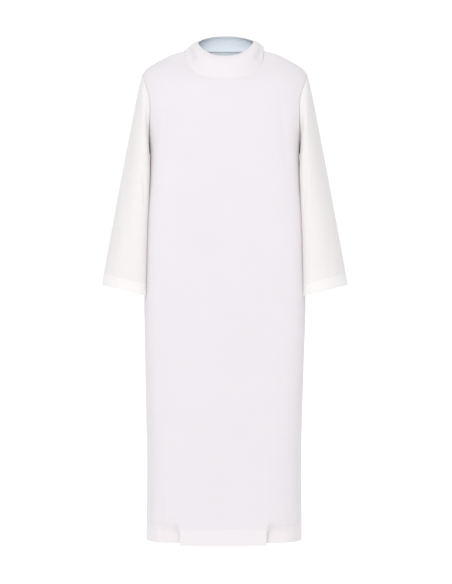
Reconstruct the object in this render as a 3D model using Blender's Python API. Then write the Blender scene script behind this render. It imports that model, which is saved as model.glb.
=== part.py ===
"""Alb robe, filled out as when it is worn: front, back, two set-in sleeves and a soft stand collar.

Metres, +Z up. The wearer faces -Y, so +X is the wearer's left. The origin is the middle of the neck
base, on the line that joins the two neck points of the shoulder seams.
"""

import math

import bmesh
import bpy
import numpy as np

# Driving sizes of the garment.
GARMENT_LENGTH = 1.400
SHOULDER_POINT_X = 0.235
SHOULDER_POINT_Z = -0.070
NECK_POINT_X = 0.112
NECK_POINT_Z = -0.001
FRONT_NECK_Z = -0.089
BACK_NECK_Z = 0.002
UNDERARM_X = 0.2125
UNDERARM_Z = -0.290
ARMHOLE_HALF_DEPTH = {"front": 0.075, "back": 0.078}
ARMHOLE_LOW_FULLNESS = 0.05
SEAM_GAP = 0.0003
SHOULDER_LEAN = 1.2

# Walls: one layer of cloth, the same cloth turned up at a hem, and the lined collar band.
CLOTH = 0.0015
TURNED_HEM = 0.0022
COLLAR_WALL = 0.0025
HEM_HEIGHT = 0.040
HEM_STEP = 0.004

CLOTH_COLOUR = (0.90, 0.88, 0.86, 1.0)
CLOTH_ROUGHNESS = 0.85

# The body is a stack of level rings. Above the shoulder points their half width follows the shoulder
# seam, and their front and back are only the parts that lie outside the neck.
# height, right half width, left half width
BODY_WIDTHS = (
    (-1.400, 0.2240, 0.2195),
    (-1.320, 0.2230, 0.2190),
    (-1.180, 0.2215, 0.2180),
    (-1.000, 0.2250, 0.2215),
    (-0.860, 0.2270, 0.2260),
    (-0.745, 0.2285, 0.2290),
    (-0.650, 0.2265, 0.2270),
    (-0.575, 0.2250, 0.2250),
    (-0.500, 0.2235, 0.2235),
    (-0.450, 0.2205, 0.2205),
    (-0.400, 0.2160, 0.2160),
    (-0.350, 0.2132, 0.2132),
    (UNDERARM_Z, UNDERARM_X, UNDERARM_X),
    (-0.250, 0.2170, 0.2170),
    (-0.215, 0.2245, 0.2245),
    (-0.176, 0.2340, 0.2340),
    (-0.130, 0.2415, 0.2415),
    (-0.100, 0.2415, 0.2415),
    (SHOULDER_POINT_Z, SHOULDER_POINT_X, SHOULDER_POINT_X),
    (-0.050, 0.2190, 0.2190),
    (-0.035, 0.1950, 0.1950),
    (-0.020, 0.1670, 0.1670),
    (-0.010, 0.1450, 0.1450),
    (NECK_POINT_Z, NECK_POINT_X, NECK_POINT_X),
    (0.010, 0.0850, 0.0850),
)

# Depth of the rings in front of the shoulders and behind them. Squareness 2 is an ellipse and more
# is boxier.
# height, depth, squareness
FRONT_DEPTHS = (
    (-1.400, 0.130, 3.20),
    (-1.100, 0.126, 3.80),
    (-0.850, 0.124, 5.00),
    (-0.700, 0.123, 6.00),
    (-0.500, 0.121, 6.20),
    (-0.400, 0.119, 6.00),
    (UNDERARM_Z, 0.116, 4.90),
    (-0.225, 0.1125, 3.90),
    (-0.176, 0.1075, 3.40),
    (-0.125, 0.0985, 2.95),
    (FRONT_NECK_Z, 0.090, 2.70),
    (-0.066, 0.075, 2.55),
    (-0.045, 0.057, 2.40),
    (-0.020, 0.033, 2.30),
    (NECK_POINT_Z, 0.014, 2.25),
    (0.010, 0.008, 2.25),
)
BACK_DEPTHS = (
    (-1.400, 0.128, 3.20),
    (-1.100, 0.124, 3.20),
    (-0.700, 0.120, 3.30),
    (-0.500, 0.118, 3.40),
    (-0.400, 0.118, 3.40),
    (UNDERARM_Z, 0.118, 3.40),
    (-0.200, 0.115, 3.25),
    (-0.100, 0.102, 2.85),
    (-0.045, 0.088, 2.55),
    (-0.020, 0.079, 2.38),
    (BACK_NECK_Z, 0.068, 2.25),
    (0.010, 0.060, 2.25),
)
SHOULDER_ROW_Z = {"front": -0.160, "back": -0.100}

# How a row bends down from its edges to its middle, at the underarm, the shoulder point and the neck.
# share of the way up, droop
ARMHOLE_DROOP = ((0.0, 1.6), (0.5, 2.0), (1.0, 2.9))
YOKE_DROOP = ((0.0, 2.9), (0.4, 1.9), (0.7, 1.25), (1.0, 0.78))
ROW_POWER = 0.90

# Sleeve rings between an outer and an inner guide point. Twist is how far the ring's front leans
# towards the body, and its back away from it.
# outer x, outer z, inner x, inner z, half depth, middle y, twist
SLEEVE_RINGS = (
    (SHOULDER_POINT_X, SHOULDER_POINT_Z, UNDERARM_X, UNDERARM_Z, 0.074, 0.000, 0.000),
    (0.2440, -0.100, 0.2135, -0.3000, 0.076, -0.008, 0.006),
    (0.2570, -0.160, 0.2131, -0.3190, 0.073, -0.022, 0.012),
    (0.2740, -0.255, 0.2134, -0.3550, 0.069, -0.037, 0.017),
    (0.2920, -0.357, 0.2173, -0.4150, 0.064, -0.049, 0.020),
    (0.3100, -0.459, 0.2211, -0.4900, 0.059, -0.058, 0.022),
    (0.3275, -0.556, 0.2236, -0.5800, 0.056, -0.063, 0.022),
    (0.3418, -0.636, 0.2251, -0.6650, 0.054, -0.066, 0.022),
    (0.3475, -0.669, 0.2256, -0.6980, 0.053, -0.067, 0.022),
)
SLEEVE_SQUARENESS = 2.15
MOST_TILT = 0.35
# Places along the sleeve, counted in rings of the table. The cuff's turned hem starts at ring 7, and
# the armhole's own shape fades out over the first rings.
SLEEVE_ROWS = (0.0, 0.4, 1.0, 1.5, 2.0, 2.5, 3.0, 3.5, 4.0, 4.5, 5.0, 5.5, 6.0, 6.5, 6.95, 7.05, 7.5, 8.0)
CUFF_HEM_RING = 7.0
ARMHOLE_FADE_RINGS = 1.6
LEAST_NARROWING = 0.3

# Collar band above its base seam, up to its rim.
# half width, side z, front depth, front z, back depth, back z, droop
COLLAR_BAND = (
    (0.1050, 0.0080, 0.0915, -0.0690, 0.0712, 0.0150, 0.90),
    (0.0955, 0.0165, 0.0885, -0.0480, 0.0712, 0.0290, 1.05),
    (0.0860, 0.0225, 0.0795, -0.0310, 0.0680, 0.0400, 1.20),
    (0.0775, 0.0240, 0.0670, -0.0215, 0.0620, 0.0470, 1.35),
)
COLLAR_SQUARENESS = 2.25
# The band stands further out and higher on one side.
# extra half width, extra side z
COLLAR_LEAN = {"right": (0.0, 0.0), "left": (0.0055, 0.0030)}

# Heights along the shoulder seam, by share of the way from the shoulder point to the neck point.
# share, z
SHOULDER_HEIGHTS = (
    (0.00, SHOULDER_POINT_Z),
    (0.14, -0.050),
    (0.33, -0.035),
    (0.66, -0.014),
    (1.00, NECK_POINT_Z),
)

# Long folds that open towards the hem, one each side of the middle of the front and of the back.
# Turn is how far the cloth turns back on itself and middle is the hidden layer's width.
# height, turn in degrees, middle
FOLD_DEPTHS = (
    (-1.400, 155.0, 0.0115),
    (-1.378, 125.0, 0.0105),
    (-1.352, 60.0, 0.0080),
    (-1.325, 22.0, 0.0060),
    (-1.290, 7.0, 0.0050),
    (-1.230, 0.0, 0.0040),
)
FOLD_TURN_STEP = 0.0027
FOLD_TURN_SHARES = (0.30, 0.65, 0.92, 1.0, 1.0, 0.92, 0.65, 0.30)
FRONT_FOLD_X = {"right": 0.1265, "left": 0.1175}
BACK_FOLD_X = {"right": 0.1050, "left": 0.1130}
# The hem's side parts, past the folds, hang a little higher than its middle.
HEM_LIFT = 0.0065
HEM_LIFT_TOP = -1.200

EVEN_COLUMNS_ABOVE = -0.800
FOLDED_COLUMNS_BELOW = -1.220

# Soft troughs in the skirt, as a share of the way from the panel's middle to its side seam.
# panel, side, share, top, bottom, depth, half width
SOFT_TROUGHS = (
    ("front", "right", 0.80, -0.62, -1.40, 0.0050, 0.022),
    ("front", "left", 0.83, -0.66, -1.40, 0.0055, 0.020),
    ("front", "left", 0.22, -0.90, -1.40, 0.0030, 0.030),
    ("front", "right", 0.27, -1.00, -1.40, 0.0025, 0.030),
    ("back", "right", 0.78, -0.55, -1.40, 0.0060, 0.024),
    ("back", "left", 0.81, -0.60, -1.40, 0.0055, 0.022),
    ("back", "right", 0.16, -0.45, -1.40, 0.0040, 0.028),
    ("back", "left", 0.20, -0.70, -1.40, 0.0045, 0.030),
)

# Rows and columns of the panels.
HEM_ROWS = 3
SKIRT_HEIGHTS = (-1.32, -1.26, -1.19, -1.10, -0.99, -0.87, -0.75, -0.64, -0.54, -0.45, -0.37)
ARMHOLE_ROWS = 9
YOKE_ROWS = 5
COLUMNS_TO_FOLD = 4
COLUMNS_PAST_FOLD = 5
HALF_COLUMNS = COLUMNS_TO_FOLD + len(FOLD_TURN_SHARES) + COLUMNS_PAST_FOLD
OUTLINE_STEPS = 240
DIRECTION_REACH = 0.002
SHARP_ANGLE = 50.0

SIDES = {"right": -1.0, "left": 1.0}
FACING = {"front": -1.0, "back": 1.0}


def smooth(table, places):
    """Values of the table's other columns at these places in its first, on a smooth curve."""
    knots = np.array([row[0] for row in table])
    values = np.array([row[1:] for row in table])
    places = np.asarray(places, float)
    slopes = np.gradient(values, knots, axis=0)
    index = np.clip(np.searchsorted(knots, places) - 1, 0, len(knots) - 2)
    width = (knots[index + 1] - knots[index])[..., None]
    share = np.clip((places - knots[index])[..., None] / width, 0.0, 1.0)
    start = values[index] * (1 + 2 * share) * (1 - share) ** 2
    end = values[index + 1] * share**2 * (3 - 2 * share)
    leave = slopes[index] * width * share * (1 - share) ** 2
    arrive = slopes[index + 1] * width * share**2 * (share - 1)
    return start + end + leave + arrive


def ease(value, low, high):
    """0 below low, 1 above high, and a smooth step between."""
    share = np.clip((value - low) / (high - low), 0.0, 1.0)
    return share * share * (3 - 2 * share)


def body_ring(panel, side_name, heights):
    """Half width, depth and squareness of the body's rings at these heights."""
    widths = smooth(BODY_WIDTHS, heights)[..., 0 if side_name == "right" else 1]
    shapes = smooth(FRONT_DEPTHS if panel == "front" else BACK_DEPTHS, heights)
    return widths, shapes[..., 0], shapes[..., 1]


def armhole_edge(panel, angle):
    """Height and depth of the armhole seam: angle 0 at the shoulder point and pi at the underarm."""
    middle_z = (SHOULDER_POINT_Z + UNDERARM_Z) / 2
    radius_z = (SHOULDER_POINT_Z - UNDERARM_Z) / 2
    fullness = 1 - ARMHOLE_LOW_FULLNESS * math.cos(angle)
    depth = ARMHOLE_HALF_DEPTH[panel] * math.sin(angle) * fullness
    return middle_z + radius_z * math.cos(angle), max(depth, SEAM_GAP / 2)


def armhole_point(panel, side_name, angle):
    """Point of the armhole seam, on the body's ring at its height."""
    height, depth = armhole_edge(panel, angle)
    width, ring_depth, squareness = body_ring(panel, side_name, height)
    x = width * (1 - (depth / ring_depth) ** squareness) ** (1 / squareness)
    return np.array((SIDES[side_name] * x, FACING[panel] * depth, height))


def armhole_normal(panel, side_name, angle):
    """Way that the cloth faces at the upper half of the armhole seam."""
    lean = SHOULDER_LEAN * ((1 + math.cos(angle)) / 2) ** 2
    normal = np.array((SIDES[side_name] * lean, FACING[panel] * math.sin(angle), math.cos(angle)))
    return normal / np.linalg.norm(normal)


def level_outline(panel, side_name, height):
    """Dense points of one half of a level row, from the panel's middle to its side seam."""
    width, depth, squareness = body_ring(panel, side_name, height)
    last = math.acos((SEAM_GAP / 2 / depth) ** (squareness / 2))
    angle = np.linspace(0.0, last, OUTLINE_STEPS)
    x = width * np.sin(angle) ** (2 / squareness)
    y = depth * np.cos(angle) ** (2 / squareness)
    z = np.full(OUTLINE_STEPS, height)
    return np.stack((SIDES[side_name] * x, FACING[panel] * y, z), axis=1)


def seam_outline(panel, side_name, edge_x, edge_height, middle_height, droop):
    """Dense points of one half of a row that ends on the armhole or the shoulder seam."""
    angle = np.linspace(0.0, math.pi / 2, OUTLINE_STEPS)
    x = edge_x * np.sin(angle) ** ROW_POWER
    z = edge_height + (middle_height - edge_height) * np.cos(angle) ** droop
    width, depth, squareness = body_ring(panel, side_name, z)
    across = np.clip(x / width, 0.0, 1.0)
    y = depth * (1 - across**squareness) ** (1 / squareness)
    y = np.maximum(y, SEAM_GAP / 2)
    return np.stack((SIDES[side_name] * x, FACING[panel] * y, z), axis=1)


def lengths_along(points):
    steps = np.linalg.norm(np.diff(points, axis=0), axis=1)
    return np.concatenate(((0.0,), np.cumsum(steps)))


def read_along(lengths, points, at):
    return np.stack([np.interp(at, lengths, points[:, axis]) for axis in range(3)], axis=1)


def columns_of(height, length, fold_at):
    """Distance along the row and depth into the body of each column of one half row."""
    turn, middle = smooth(FOLD_DEPTHS, height)
    headings = math.radians(turn) * np.array(FOLD_TURN_SHARES)
    steps = np.full(len(headings), FOLD_TURN_STEP)
    steps[3:5] = middle / 2
    start = fold_at - FOLD_TURN_STEP * math.cos(headings[0])
    along = start + np.cumsum(steps * np.cos(headings))
    deep = np.cumsum(steps * np.sin(headings))
    past = np.linspace(0.0, 1.0, COLUMNS_PAST_FOLD + 1)[1:]
    distance = np.concatenate(
        (
            np.linspace(0.0, start, COLUMNS_TO_FOLD + 1),
            along,
            along[-1] + (length - along[-1]) * past,
        )
    )
    depth = np.concatenate(
        (np.zeros(COLUMNS_TO_FOLD + 1), deep, deep[-1] * (1 - ease(past, 0.0, 1.0)))
    )
    even = np.linspace(0.0, length, len(distance))
    spread = ease(height, FOLDED_COLUMNS_BELOW, EVEN_COLUMNS_ABOVE)
    return distance + (even - distance) * spread, depth * (1 - spread)


def trough_depth(panel, side_name, share, height):
    """Depth of the soft troughs at this share of the way to the side seam."""
    total = np.zeros_like(share)
    for name, side, place, top, bottom, depth, half_width in SOFT_TROUGHS:
        if (name, side) == (panel, side_name):
            fade = 1 - ease(height, bottom + 0.35 * (top - bottom), top)
            across = (share - place) / (half_width / UNDERARM_X)
            total += depth * fade * np.exp(-(across**2)) * (1 - share**6)
    return total


def half_row(panel, side_name, outline, folded):
    """Points of the columns of one half of a row, middle first."""
    lengths = lengths_along(outline)
    height = outline[0, 2]
    if folded:
        fold_x = (FRONT_FOLD_X if panel == "front" else BACK_FOLD_X)[side_name]
        fold_at = float(np.interp(fold_x, np.abs(outline[:, 0]), lengths))
        distance, depth = columns_of(height, lengths[-1], fold_at)
    else:
        distance = np.linspace(0.0, lengths[-1], HALF_COLUMNS + 1)
        depth = np.zeros_like(distance)
    depth = depth + trough_depth(panel, side_name, distance / lengths[-1], height)
    points = read_along(lengths, outline, distance)
    ahead = read_along(lengths, outline, np.minimum(distance + DIRECTION_REACH, lengths[-1]))
    behind = read_along(lengths, outline, np.maximum(distance - DIRECTION_REACH, 0.0))
    along = ahead - behind
    outward = np.stack((-along[:, 1], along[:, 0], np.zeros(len(along))), axis=1)
    outward /= np.linalg.norm(outward, axis=1)[:, None]
    outward *= np.sign(np.sum(outward * points * (1, 1, 0), axis=1))[:, None]
    points = points - outward * depth[:, None]
    past_fold = ease(np.arange(len(points)), COLUMNS_TO_FOLD, HALF_COLUMNS - COLUMNS_PAST_FOLD)
    points[:, 2] += HEM_LIFT * past_fold * (1 - ease(height, -GARMENT_LENGTH, HEM_LIFT_TOP))
    return points


def whole_row(panel, right, left):
    """Both halves of a row as one, running round the body the same way on both panels."""
    across = np.concatenate((right[::-1], left[1:]))
    return across if panel == "front" else across[::-1]


def panel_row(panel, outline_of, folded):
    halves = [half_row(panel, name, outline_of(name), folded) for name in SIDES]
    return whole_row(panel, *halves)


def neck_z(panel):
    return FRONT_NECK_Z if panel == "front" else BACK_NECK_Z


def armhole_row(panel, share):
    """Row that ends on the armhole: share 0 runs through the underarm and share 1 the shoulder point."""
    angle = math.pi * (1 - share)
    edge = armhole_edge(panel, angle)[0]
    middle = UNDERARM_Z + (SHOULDER_ROW_Z[panel] - UNDERARM_Z) * share
    droop = float(smooth(ARMHOLE_DROOP, share)[0])

    def outline(name):
        edge_x = abs(armhole_point(panel, name, angle)[0])
        return seam_outline(panel, name, edge_x, edge, middle, droop)

    return panel_row(panel, outline, False)


def yoke_row(panel, share):
    """Row above the shoulder points: share 0 runs through them and share 1 is the neck seam."""
    shoulder_row_z = SHOULDER_ROW_Z[panel]
    edge = float(smooth(SHOULDER_HEIGHTS, share)[0])
    middle = shoulder_row_z + (neck_z(panel) - shoulder_row_z) * share
    droop = float(smooth(YOKE_DROOP, share)[0])

    def outline(name):
        edge_x = float(body_ring(panel, name, edge)[0])
        return seam_outline(panel, name, edge_x, edge, middle, droop)

    return panel_row(panel, outline, False)


def panel_rows(panel):
    """Rows of the front or the back, hem first, with the wall's thickness at each row."""
    hem_line = -GARMENT_LENGTH + HEM_HEIGHT
    in_hem = np.linspace(-GARMENT_LENGTH, hem_line, HEM_ROWS)
    rows = []
    for height in (*in_hem, hem_line + HEM_STEP, *SKIRT_HEIGHTS):
        rows.append(panel_row(panel, lambda name: level_outline(panel, name, height), True))
    for index in range(ARMHOLE_ROWS):
        rows.append(armhole_row(panel, index / ARMHOLE_ROWS))
    for index in range(YOKE_ROWS + 1):
        rows.append(yoke_row(panel, index / YOKE_ROWS))
    walls = np.full(len(rows), CLOTH)
    walls[:HEM_ROWS] = TURNED_HEM
    return np.array(rows), walls


def surface_normals(grid, wraps):
    """Unit normals of a grid of points, columns running round the body and rows running up."""
    if wraps:
        padded = np.concatenate((grid[:, -1:], grid, grid[:, :1]), axis=1)
        along = np.gradient(padded, axis=1)[:, 1:-1]
    else:
        along = np.gradient(grid, axis=1)
    up = np.gradient(grid, axis=0)
    normals = np.cross(along, up)
    return normals / np.linalg.norm(normals, axis=2)[:, :, None]


def seam_normals(edge):
    """Normals of a seam that lies in the plane through both shoulders."""
    along = np.gradient(edge, axis=0)
    normals = np.stack((along[:, 2], np.zeros(len(edge)), -along[:, 0]), axis=1)
    normals *= np.sign(edge[:, 0])[:, None]
    return normals / np.linalg.norm(normals, axis=1)[:, None]


def mixed_normal(own, panel, side_name, angle):
    """Normal at the armhole seam: shared by panel and sleeve above, each one's own near the underarm."""
    blend = ease(math.cos(angle), -0.5, 0.2)
    normal = armhole_normal(panel, side_name, angle) * blend + own * (1 - blend)
    return normal / np.linalg.norm(normal)


def panel_normals(grid, panel):
    """Normals of a panel. Both panels share them at the side and shoulder seams."""
    normals = surface_normals(grid, False)
    first_armhole_row = 3 + len(SKIRT_HEIGHTS)
    for column in (0, -1):
        side_name = "left" if grid[0, column, 0] > 0 else "right"
        own = normals[:, column].copy()
        normals[:, column] = seam_normals(grid[:, column])
        for index in range(ARMHOLE_ROWS + 1):
            row = first_armhole_row + index
            angle = math.pi * (1 - index / ARMHOLE_ROWS)
            normals[row, column] = mixed_normal(own[row], panel, side_name, angle)
    return normals


def armhole_loop(side_name):
    """Points of a whole armhole seam from the shoulder point round the front, one for each sleeve column."""
    loop = []
    for index in range(2 * ARMHOLE_ROWS):
        angle = math.pi * index / ARMHOLE_ROWS
        panel = "front" if index <= ARMHOLE_ROWS else "back"
        seam_angle = angle if panel == "front" else 2 * math.pi - angle
        point = armhole_point(panel, side_name, seam_angle)
        if index in (0, ARMHOLE_ROWS):
            point[1] = 0.0
        loop.append((angle, panel, seam_angle, point))
    return loop


def sleeve_rings(side_name):
    """Rings of one sleeve from the armhole seam down to the cuff."""
    side = SIDES[side_name]
    table = [(float(index), *ring) for index, ring in enumerate(SLEEVE_RINGS)]
    loop = armhole_loop(side_name)
    angles = np.array([entry[0] for entry in loop])
    power = 2 / SLEEVE_SQUARENESS
    across = np.sign(np.cos(angles)) * np.abs(np.cos(angles)) ** power
    ahead = np.sign(np.sin(angles)) * np.abs(np.sin(angles)) ** power
    armhole = np.array([entry[3] for entry in loop])
    armhole[:, 0] += side * SEAM_GAP
    armhole[:, 2] -= SEAM_GAP / 2 * np.maximum(np.cos(angles), 0.0)
    rings = []
    for place in SLEEVE_ROWS:
        outer_x, outer_z, inner_x, inner_z, half_depth, middle_y, twist = smooth(table, place)
        half_x = (outer_x - inner_x) / 2
        narrowed = math.sqrt(max(half_x**2 - twist**2, (LEAST_NARROWING * half_x) ** 2))
        x = (outer_x + inner_x) / 2 + narrowed * across - twist * ahead
        y = middle_y - half_depth * ahead
        tilt = min((outer_z - inner_z) / (outer_x - inner_x), MOST_TILT)
        z = (outer_z + inner_z) / 2 + (outer_z - inner_z) / 2 * across - tilt * twist * ahead
        ring = np.stack((side * x, y, z), axis=1)
        if place == 0.0:
            from_armhole = armhole - ring
        rings.append(ring + from_armhole * max(0.0, 1 - place / ARMHOLE_FADE_RINGS) ** 2)
    return np.array(rings)


def sleeve_grid(side_name):
    """Grid of a sleeve, cuff row first, with columns that run round it anticlockwise from above."""
    grid = sleeve_rings(side_name)[::-1]
    walls = np.where(np.array(SLEEVE_ROWS) >= CUFF_HEM_RING, TURNED_HEM, CLOTH)[::-1]
    loop = armhole_loop(side_name)
    if side_name == "left":
        grid = grid[:, ::-1]
        loop = loop[::-1]
    normals = surface_normals(grid, True)
    for column, (_, panel, seam_angle, _) in enumerate(loop):
        normals[-1, column] = mixed_normal(normals[-1, column], panel, side_name, seam_angle)
    return grid, normals, walls


def collar_outline(side_name, panel, half_width, side_z, depth, middle_z, droop):
    """Dense points of one half of a collar row, from its middle to the shoulder."""
    wider, higher = COLLAR_LEAN[side_name]
    half_width = half_width + wider
    side_z = side_z + higher
    angle = np.linspace(0.0, math.pi / 2, OUTLINE_STEPS)
    x = half_width * np.sin(angle) ** (2 / COLLAR_SQUARENESS)
    y = np.maximum(depth * np.cos(angle) ** (2 / COLLAR_SQUARENESS), SEAM_GAP / 2)
    z = side_z + (middle_z - side_z) * np.cos(angle) ** droop
    return np.stack((SIDES[side_name] * x, FACING[panel] * y, z), axis=1)


def collar_row(half_width, side_z, front_depth, front_z, back_depth, back_z, droop):
    front = panel_row(
        "front",
        lambda name: collar_outline(name, "front", half_width, side_z, front_depth, front_z, droop),
        False,
    )
    back = panel_row(
        "back",
        lambda name: collar_outline(name, "back", half_width, side_z, back_depth, back_z, droop),
        False,
    )
    return np.concatenate((front, back[1:]))


def collar_grid():
    """Grid of the collar band. Its two ends meet over the wearer's right shoulder."""
    neck_seam = np.concatenate((yoke_row("front", 1.0), yoke_row("back", 1.0)[1:]))
    grid = np.array([neck_seam] + [collar_row(*row) for row in COLLAR_BAND])
    rise = grid[1] - grid[0]
    grid[0] += rise / np.linalg.norm(rise, axis=1)[:, None] * SEAM_GAP
    normals = surface_normals(grid, False)
    for column in (0, -1):
        normals[:, column] = seam_normals(grid[:, column])
    return grid, normals, np.full(len(grid), COLLAR_WALL)


def add_rim(shape, outer_pair, inner_pair, flip):
    """Closes a wall between two neighbouring edge points, split the same way on both pieces of a seam."""
    first, second = outer_pair
    inner_first, inner_second = inner_pair
    if first.co.z >= second.co.z:
        triangles = ((second, first, inner_second), (first, inner_first, inner_second))
    else:
        triangles = ((second, first, inner_first), (second, inner_first, inner_second))
    for triangle in triangles:
        shape.faces.new(triangle[::-1] if flip else triangle)


def wall_mesh(name, grid, normals, walls, wraps):
    """Closed wall between a surface and its copy moved inwards, lofted row by row."""
    inner_grid = grid - normals * walls[:, None, None]
    shape = bmesh.new()
    outer = [[shape.verts.new(point) for point in row] for row in grid]
    inner = [[shape.verts.new(point) for point in row] for row in inner_grid]
    top = grid.shape[0] - 1
    column_count = grid.shape[1]
    last = column_count if wraps else column_count - 1
    for column in range(last):
        following = (column + 1) % column_count
        for row in range(top):
            for points, flip in ((outer, False), (inner, True)):
                low = (points[row][column], points[row][following])
                high = (points[row + 1][column], points[row + 1][following])
                for triangle in ((low[0], low[1], high[1]), (low[0], high[1], high[0])):
                    shape.faces.new(triangle[::-1] if flip else triangle)
        for row, flip in ((0, False), (top, True)):
            outer_pair = (outer[row][column], outer[row][following])
            inner_pair = (inner[row][column], inner[row][following])
            add_rim(shape, outer_pair, inner_pair, flip)
    if not wraps:
        for row in range(top):
            for column, flip in ((0, True), (column_count - 1, False)):
                outer_pair = (outer[row][column], outer[row + 1][column])
                inner_pair = (inner[row][column], inner[row + 1][column])
                add_rim(shape, outer_pair, inner_pair, flip)
    mesh = bpy.data.meshes.new(name)
    shape.to_mesh(mesh)
    shape.free()
    mesh.shade_smooth()
    mesh.set_sharp_from_angle(angle=math.radians(SHARP_ANGLE))
    return mesh


def cloth_material(name):
    material = bpy.data.materials.new(name)
    material.use_nodes = True
    shader = material.node_tree.nodes["Principled BSDF"]
    shader.inputs["Base Color"].default_value = CLOTH_COLOUR
    shader.inputs["Roughness"].default_value = CLOTH_ROUGHNESS
    shader.inputs["Metallic"].default_value = 0.0
    return material


def add_piece(collection, name, grid, normals, walls, wraps=False):
    mesh = wall_mesh(name, grid, normals, walls, wraps)
    mesh.materials.append(cloth_material(name + "_cloth"))
    piece = bpy.data.objects.new(name, mesh)
    collection.objects.link(piece)


def clear_scene():
    for old in list(bpy.data.objects):
        bpy.data.objects.remove(old, do_unlink=True)


def build():
    clear_scene()
    garment = bpy.data.collections.new("alb robe")
    bpy.context.scene.collection.children.link(garment)
    for panel in FACING:
        grid, walls = panel_rows(panel)
        add_piece(garment, panel, grid, panel_normals(grid, panel), walls)
    for side_name in SIDES:
        grid, normals, walls = sleeve_grid(side_name)
        add_piece(garment, "sleeve_" + side_name, grid, normals, walls, wraps=True)
    grid, normals, walls = collar_grid()
    add_piece(garment, "collar", grid, normals, walls)


build()
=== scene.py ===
"""Looks of the alb robe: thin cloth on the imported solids, with creases, turned hems, seams and stitches.

Metres, +Z up, in the frame of the part. The wearer faces -Y, so +X is the wearer's left.
"""

import math

import bpy
import numpy as np
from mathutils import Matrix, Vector


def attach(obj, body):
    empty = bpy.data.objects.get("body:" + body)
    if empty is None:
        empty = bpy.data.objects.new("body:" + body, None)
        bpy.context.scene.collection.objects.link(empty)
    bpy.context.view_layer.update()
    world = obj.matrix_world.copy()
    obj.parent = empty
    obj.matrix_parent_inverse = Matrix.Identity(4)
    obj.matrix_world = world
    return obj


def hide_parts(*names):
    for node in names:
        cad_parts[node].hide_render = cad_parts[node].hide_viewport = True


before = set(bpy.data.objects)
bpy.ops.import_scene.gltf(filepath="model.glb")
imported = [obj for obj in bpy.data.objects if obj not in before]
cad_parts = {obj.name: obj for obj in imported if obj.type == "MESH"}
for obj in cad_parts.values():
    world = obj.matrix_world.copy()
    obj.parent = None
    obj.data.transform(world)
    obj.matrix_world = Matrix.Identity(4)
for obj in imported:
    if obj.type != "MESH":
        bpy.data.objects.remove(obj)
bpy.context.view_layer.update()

SIDES = {"right": -1.0, "left": 1.0}
FACING = {"front": -1.0, "back": 1.0}

# Driving sizes of the garment, the same as the part's.
GARMENT_LENGTH = 1.400
SHOULDER_POINT_X = 0.235
SHOULDER_POINT_Z = -0.070
NECK_POINT_X = 0.112
NECK_POINT_Z = -0.001
FRONT_NECK_Z = -0.089
BACK_NECK_Z = 0.002
UNDERARM_X = 0.2125
UNDERARM_Z = -0.290
ARMHOLE_HALF_DEPTH = {"front": 0.075, "back": 0.078}
ARMHOLE_LOW_FULLNESS = 0.05
HEM_HEIGHT = 0.040

# The soft cloth meets more closely at its seams than the solids do.
SEAM_GAP = 0.0001

# Thickness of one layer of cloth, of a turned hem and of the doubled collar band.
ONE_LAYER = 0.0009
TURNED_LAYERS = 0.0019
COLLAR_LAYERS = 0.0024

# Rings of the body.
# height, right half width, left half width
BODY_WIDTHS = (
    (-1.400, 0.2240, 0.2195),
    (-1.320, 0.2230, 0.2190),
    (-1.180, 0.2215, 0.2180),
    (-1.000, 0.2250, 0.2215),
    (-0.860, 0.2270, 0.2260),
    (-0.745, 0.2285, 0.2290),
    (-0.650, 0.2265, 0.2270),
    (-0.575, 0.2250, 0.2250),
    (-0.500, 0.2235, 0.2235),
    (-0.450, 0.2205, 0.2205),
    (-0.400, 0.2160, 0.2160),
    (-0.350, 0.2132, 0.2132),
    (UNDERARM_Z, UNDERARM_X, UNDERARM_X),
    (-0.250, 0.2170, 0.2170),
    (-0.215, 0.2245, 0.2245),
    (-0.176, 0.2340, 0.2340),
    (-0.130, 0.2415, 0.2415),
    (-0.100, 0.2415, 0.2415),
    (SHOULDER_POINT_Z, SHOULDER_POINT_X, SHOULDER_POINT_X),
    (-0.050, 0.2190, 0.2190),
    (-0.035, 0.1950, 0.1950),
    (-0.020, 0.1670, 0.1670),
    (-0.010, 0.1450, 0.1450),
    (NECK_POINT_Z, NECK_POINT_X, NECK_POINT_X),
    (0.010, 0.0850, 0.0850),
)

# Depth of the rings in front of the shoulders and behind them.
# height, depth, squareness
FRONT_DEPTHS = (
    (-1.400, 0.130, 3.20),
    (-1.100, 0.126, 3.80),
    (-0.850, 0.124, 5.00),
    (-0.700, 0.123, 6.00),
    (-0.500, 0.121, 6.20),
    (-0.400, 0.119, 6.00),
    (UNDERARM_Z, 0.116, 4.90),
    (-0.225, 0.1125, 3.90),
    (-0.176, 0.1075, 3.40),
    (-0.125, 0.0985, 2.95),
    (FRONT_NECK_Z, 0.090, 2.70),
    (-0.066, 0.075, 2.55),
    (-0.045, 0.057, 2.40),
    (-0.020, 0.033, 2.30),
    (NECK_POINT_Z, 0.014, 2.25),
    (0.010, 0.008, 2.25),
)
BACK_DEPTHS = (
    (-1.400, 0.128, 3.20),
    (-1.100, 0.124, 3.20),
    (-0.700, 0.120, 3.30),
    (-0.500, 0.118, 3.40),
    (-0.400, 0.118, 3.40),
    (UNDERARM_Z, 0.118, 3.40),
    (-0.200, 0.115, 3.25),
    (-0.100, 0.102, 2.85),
    (-0.045, 0.088, 2.55),
    (-0.020, 0.079, 2.38),
    (BACK_NECK_Z, 0.068, 2.25),
    (0.010, 0.060, 2.25),
)
SHOULDER_ROW_Z = {"front": -0.160, "back": -0.100}

# How a row bends down from its edges to its middle.
# share of the way up, droop
ARMHOLE_DROOP = ((0.0, 1.6), (0.5, 2.0), (1.0, 2.9))
YOKE_DROOP = ((0.0, 2.9), (0.4, 1.9), (0.7, 1.25), (1.0, 0.78))
ROW_POWER = 0.90

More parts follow.
